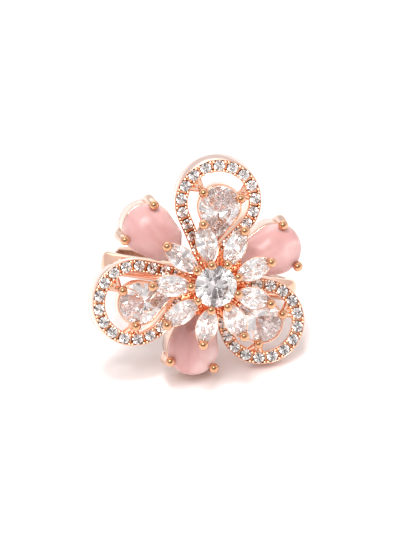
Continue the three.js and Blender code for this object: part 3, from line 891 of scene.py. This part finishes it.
def marquise_turn(k):
    return turn("Z", MARQUISE["first"] + 360 / MARQUISE["count"] * k)


def centre_basket_shape():
    """A turned cup with nine slim prongs, on a flange that webs the marquise cups together."""
    shape = sweep(round_outline(1.0, 72), [(r - 1.0, z) for r, z in CENTRE_CUP], CENTRE_CUP_RECESS)
    foot = (CENTRE_PRONGS["foot"], 0, CENTRE_PRONGS["foot_height"])
    for k in range(MARQUISE["count"]):
        spin = marquise_turn(k)
        radial, head = BENT_PRONGS.get(k, (CENTRE_PRONGS["radial"], CENTRE_PRONGS["ball"]))
        tip = (radial, 0, CENTRE_PRONGS["height"])
        shape.join(prong([foot, CENTRE_PRONGS["bend"], tip], CENTRE_PRONGS["wire"], head), spin)
        for out, up, size in CENTRE_CUP_GRAINS:
            shape.join(grain((out, 0, up), size), spin @ turn("Z", 180 / MARQUISE["count"]))
    return shape


def cabochon_shape():
    """Smooth pear dome with a low rounded edge."""
    middle = DOME["middle"]
    outline = tear(CABOCHON, 3.0)

    def ring(scale, z):
        height = z + CABOCHON["girdle"]
        return [(middle + (x - middle) * scale, y * scale, height) for x, y, nx, ny in outline]

    rings = [ring(scale, -CABOCHON["base"] * depth) for scale, depth in CABOCHON_EDGE]
    for k in range(DOME["steps"]):
        angle = math.radians(90 * k / DOME["steps"])
        rings.append(ring(math.cos(angle) ** DOME["fullness"], CABOCHON["dome"] * math.sin(angle)))
    rings.append(ring(DOME["top"], CABOCHON["dome"]))
    return rings_shape(rings)


# ---------------------------------------------------------------- back of the head

def hub_shape():
    """The post that carries the centre, with a small collar at either end."""
    low, high = HEAD_BACK + 0.02, HUB_TOP
    profile = [(-HUB_CORE, low), (0.0, low), (0.0, low + 0.35), (-HUB_WAIST, low + 0.55),
               (-HUB_WAIST, high - 0.45), (0.0, high - 0.25), (0.0, high), (-HUB_CORE, high)]
    return sweep(round_outline(HUB_RADIUS, 40), rounded(profile, HUB_EDGE))


def star_outline():
    """A round plate with an arm under each cabochon, as points and outward normals."""
    half = STAR["width"] / 2
    end = STAR["reach"] - half
    points = []
    for angle in spread(360):
        lean = min(abs(math.remainder(angle - a, 2 * math.pi)) for a in radians(PETAL_ANGLES["cabochon"]))
        arm = 0
        if math.sin(lean) * end < half and lean < math.pi / 2:
            arm = end * math.cos(lean) + math.sqrt(half ** 2 - (end * math.sin(lean)) ** 2)
        elif lean < math.pi / 2:
            arm = half / math.sin(lean)
        reach = (STAR["ring"] ** STAR["blend"] + arm ** STAR["blend"]) ** (1 / STAR["blend"])
        points.append((reach * math.cos(angle), reach * math.sin(angle)))
    outline = []
    for i, (x, y) in enumerate(points):
        ahead, behind = points[(i + 1) % len(points)], points[i - 1]
        dx, dy = ahead[0] - behind[0], ahead[1] - behind[1]
        size = math.hypot(dx, dy)
        outline.append((x, y, dy / size, -dx / size))
    return outline


def star_shape():
    outline = star_outline()
    return rings_shape([[(x - nx * inset, y - ny * inset, z) for x, y, nx, ny in outline]
                        for inset, z in STAR_EDGE])


def saddle_shape():
    """The thin wedge between the bar's flat top and the star."""
    corners = ((1, -1), (1, 1), (-1, 1), (-1, -1))
    length, width = SADDLE["length"], SADDLE["width"]
    outline = belt([(sx * length, sy * width, SADDLE["corner"]) for sx, sy in corners], 15.0)
    unturn = turn("X", -HEAD_NOD)
    low = [unturn @ Vector((x, y, BAR_TOP + OVERLAP - HEAD_HEIGHT)) for x, y, nx, ny in outline]
    high = STAR_BACK - OVERLAP
    wide, deep = SADDLE_BEVEL
    return rings_shape([
        [(p.x * wide, p.y * deep, p.z) for p in low],
        [(p.x, p.y, p.z + OVERLAP) for p in low],
        [(p.x, p.y, high - OVERLAP) for p in low],
        [(p.x * wide, p.y * deep, high) for p in low],
    ])


# ---------------------------------------------------------------- shank

def band_width(z):
    """The band is widest at its shoulders, and narrows to the bar and to the back."""
    widest = BAR_TOP - SHOULDER_RADIUS
    if z > widest:
        share = min(1.0, (z - widest) / SHOULDER_RADIUS)
        return SHANK_WIDTH_SHOULDER + (SHANK_WIDTH_BAR - SHANK_WIDTH_SHOULDER) * share
    share = min(1.0, (widest - z) / (widest + BORE_RADIUS))
    return SHANK_WIDTH_SHOULDER + (SHANK_WIDTH_BACK - SHANK_WIDTH_SHOULDER) * share


def shank_section():
    """(offset from the finger hole, share of the width): crowned outside, flatter inside."""
    section = []
    widest = SECTION["widest"]
    for a in spread(SECTION["points"]):
        outer = math.cos(a) > 0
        power = SECTION_POWERS["outside" if outer else "inside"]
        reach = SHANK_WALL - widest if outer else widest
        section.append((widest + reach * math.copysign(abs(math.cos(a)) ** power, math.cos(a)),
                        math.copysign(abs(math.sin(a)) ** power, math.sin(a)) / 2))
    return section


def shank_shape():
    """Band with a flat bar and two bent shoulders, narrower at the back."""
    shoulder_x, shoulder_z = SHOULDER_HALF - SHOULDER_RADIUS, BAR_TOP - SHOULDER_RADIUS
    bend = SHOULDER_RADIUS - SHANK_WALL
    outline = fill_straights(belt([
        (0, 0, BORE_RADIUS), (shoulder_x, shoulder_z, bend), (-shoulder_x, shoulder_z, bend),
    ], 3.0), 0.5)
    section = shank_section()
    rings = [[(x + nx * o, y * band_width(z), z + nz * o) for o, y in section] for x, z, nx, nz in outline]
    # the finger hole's faces take the darker gold, as painted shade
    marks = []
    for (o, y), (p, w) in zip(section, section[1:] + section[:1]):
        marks.append(BAND_INSIDE if (o + p) / 2 < SECTION["bore"] else BAND_OUTSIDE)
    return rings_shape(rings, closed=True, marks=marks)


# ---------------------------------------------------------------- assembly

GOLD = (ROSE, PRONG_PAINTED_REFLECTION_GOLD, RECESS_PAINTED_SHADE_GOLD, GRAIN_PAINTED_HIGHLIGHT_GOLD, WALL_GOLD, PAINTED_SHADE_GOLD, BRUSHED_GOLD)
STONE = (CLEAR, FOIL, PAINTED_GREY_REFLECTION, PAINTED_DARK_REFLECTION, PAINTED_PINK_REFLECTION, PAINTED_PALE_REFLECTION, PAINTED_BLUE_REFLECTION)
PAVE_STONE = (PAVE_CLEAR, FOIL, PAINTED_GREY_REFLECTION, PAINTED_DARK_REFLECTION)
BAND = (BAND_GOLD, BORE_PAINTED_SHADE_GOLD)

pieces = []


def piece(name, shape, place, materials, nodes, sharp=35.0):
    """Makes an object from a shape, puts it on the ring and lets it stand for its CAD nodes."""
    mesh = bpy.data.meshes.new(name)
    matrix = np.array(place)
    points = np.array(shape.points, dtype=float) @ matrix[:3, :3].T + matrix[:3, 3]
    mesh.from_pydata(points.tolist(), [], shape.faces)
    for material in materials:
        mesh.materials.append(material)
    mesh.polygons.foreach_set("material_index", shape.marks)
    mesh.validate()
    if sharp:
        mesh.polygons.foreach_set("use_smooth", [True] * len(mesh.polygons))
        mesh.set_sharp_from_angle(angle=math.radians(sharp))
    obj = bpy.data.objects.new(name, mesh)
    bpy.context.scene.collection.objects.link(obj)
    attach(obj, "root")
    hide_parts(*nodes)
    pieces.append(obj)
    return obj


piece("shank_band", shank_shape(), SHANK, BAND, ["shank"])
piece("centre_setting", centre_basket_shape(), HEAD, GOLD, ["centre_basket"])
piece("centre_brilliant", round_stone(), HEAD @ shift(0, 0, CENTRE["girdle"]), STONE,
      ["centre_stone"], sharp=None)

cup = marquise_cup_shape()
marquise = marquise_stone()
for k in range(MARQUISE["count"]):
    place = HEAD @ marquise_turn(k) @ SEAT
    piece(f"marquise_setting_{k + 1}", cup, place, GOLD, [f"marquise_cup_{k + 1}"])
    piece(f"marquise_brilliant_{k + 1}", marquise, place, STONE,
          [f"marquise_stone_{k + 1}"], sharp=None)

halo = halo_shape()
pave = pave_shape()
pear_basket = pear_basket_shape()
pear = pear_stone()
for k, angle in enumerate(PETAL_ANGLES["pear"], 1):
    place = HEAD @ turn("Z", angle) @ TILT
    piece(f"halo_rail_{k}", halo, place, GOLD, [f"halo_frame_{k}"])
    piece(f"pave_stones_{k}", pave, place, PAVE_STONE, [f"pave_row_{k}"], sharp=None)
    piece(f"pear_setting_{k}", pear_basket, place, GOLD, [f"pear_basket_{k}"])
    piece(f"pear_brilliant_{k}", pear, place, STONE, [f"pear_stone_{k}"], sharp=None)

cabochon_basket = cabochon_basket_shape()
cabochon = cabochon_shape()
for k, angle in enumerate(PETAL_ANGLES["cabochon"], 1):
    place = HEAD @ turn("Z", angle)
    piece(f"cabochon_setting_{k}", cabochon_basket, place, GOLD, [f"cabochon_basket_{k}"])
    dome = piece(f"cabochon_dome_{k}", cabochon, place, (PINK,), [f"cabochon_{k}"], sharp=60)
    local = dome.data.attributes.new(STREAK_COORDS, "FLOAT_VECTOR", "POINT")
    local.data.foreach_set("vector", [c for x, y, z in cabochon.points for c in (x + STREAK_STEP * k, y, z)])

piece("hub", hub_shape(), HEAD, GOLD, ["hub_post"])
piece("star_plate", star_shape(), HEAD, GOLD, ["back_star"])
piece("saddle_plate", saddle_shape(), HEAD, GOLD, ["saddle"])


# ---------------------------------------------------------------- floor and light

def make_floor():
    mesh = bpy.data.meshes.new("floor")
    corners = [(x * FLOOR_HALF, y * FLOOR_HALF, 0) for x, y in ((-1, -1), (1, -1), (1, 1), (-1, 1))]
    mesh.from_pydata(corners, [], [(0, 1, 2, 3)])
    floor = bpy.data.objects.new("floor", mesh)
    bpy.context.scene.collection.objects.link(floor)
    material, tree, shader = new_material("floor_white")
    shader.inputs["Base Color"].default_value = (*FLOOR_COLOUR, 1)
    shader.inputs["Roughness"].default_value = 0.6
    mesh.materials.append(material)


def area_light(name, azimuth, elevation, distance, size, power, seen=False, lit=True):
    a, e = math.radians(azimuth), math.radians(elevation)
    back = Vector((math.sin(a) * math.cos(e), -math.cos(a) * math.cos(e), math.sin(e)))
    data = bpy.data.lights.new(name, "AREA")
    data.size = size
    data.energy = power
    light = bpy.data.objects.new(name, data)
    light.visible_glossy = seen
    light.visible_diffuse = lit
    bpy.context.scene.collection.objects.link(light)
    light.location = HEAD.translation + back * distance
    light.rotation_euler = (-back).to_track_quat("-Z", "Y").to_euler()
    return light


def limit_to_settings(light):
    """Lets the light fall only on the gold settings, so that it shows in their ball prongs."""
    settings = bpy.data.collections.new("settings")
    for obj in pieces:
        if PRONG_PAINTED_REFLECTION_GOLD.name in obj.data.materials:
            settings.objects.link(obj)
    light.light_linking.receiver_collection = settings


def make_world():
    """A white tent, brighter overhead, with a dark gap where the camera stands."""
    world = bpy.data.worlds.new("tent")
    bpy.context.scene.world = world
    world.use_nodes = True
    tree = world.node_tree
    background = tree.nodes["Background"]
    coords = tree.nodes.new("ShaderNodeTexCoord")
    aim = tree.nodes.new("ShaderNodeVectorMath")
    aim.operation = "DOT_PRODUCT"
    aim.inputs[1].default_value = camera_back
    tree.links.new(coords.outputs["Generated"], aim.inputs[0])
    gap = ramp(tree, aim.outputs["Value"], *WORLD_GAP)
    split = tree.nodes.new("ShaderNodeSeparateXYZ")
    tree.links.new(coords.outputs["Generated"], split.inputs[0])
    height = ramp(tree, split.outputs["Z"], *WORLD_RISE)
    both = tree.nodes.new("ShaderNodeMix")
    both.data_type = "RGBA"
    both.blend_type = "MULTIPLY"
    both.inputs["Factor"].default_value = 1
    tree.links.new(gap, both.inputs["A"])
    tree.links.new(height, both.inputs["B"])
    tree.links.new(both.outputs["Result"], background.inputs["Color"])
    path = tree.nodes.new("ShaderNodeLightPath")
    strength = span(tree, path.outputs["Is Diffuse Ray"], WORLD_STRENGTH, WORLD_FILL)
    tree.links.new(strength, background.inputs["Strength"])


make_floor()
make_world()
lamps = {name: area_light(name, **lamp) for name, lamp in LAMPS.items()}
limit_to_settings(lamps["glint"])

scene = bpy.context.scene
scene.view_settings.view_transform = "Standard"
scene.cycles.max_bounces = 32
scene.cycles.diffuse_bounces = 8
scene.cycles.transmission_bounces = 28
scene.cycles.glossy_bounces = 28
scene.cycles.sample_clamp_indirect = 8
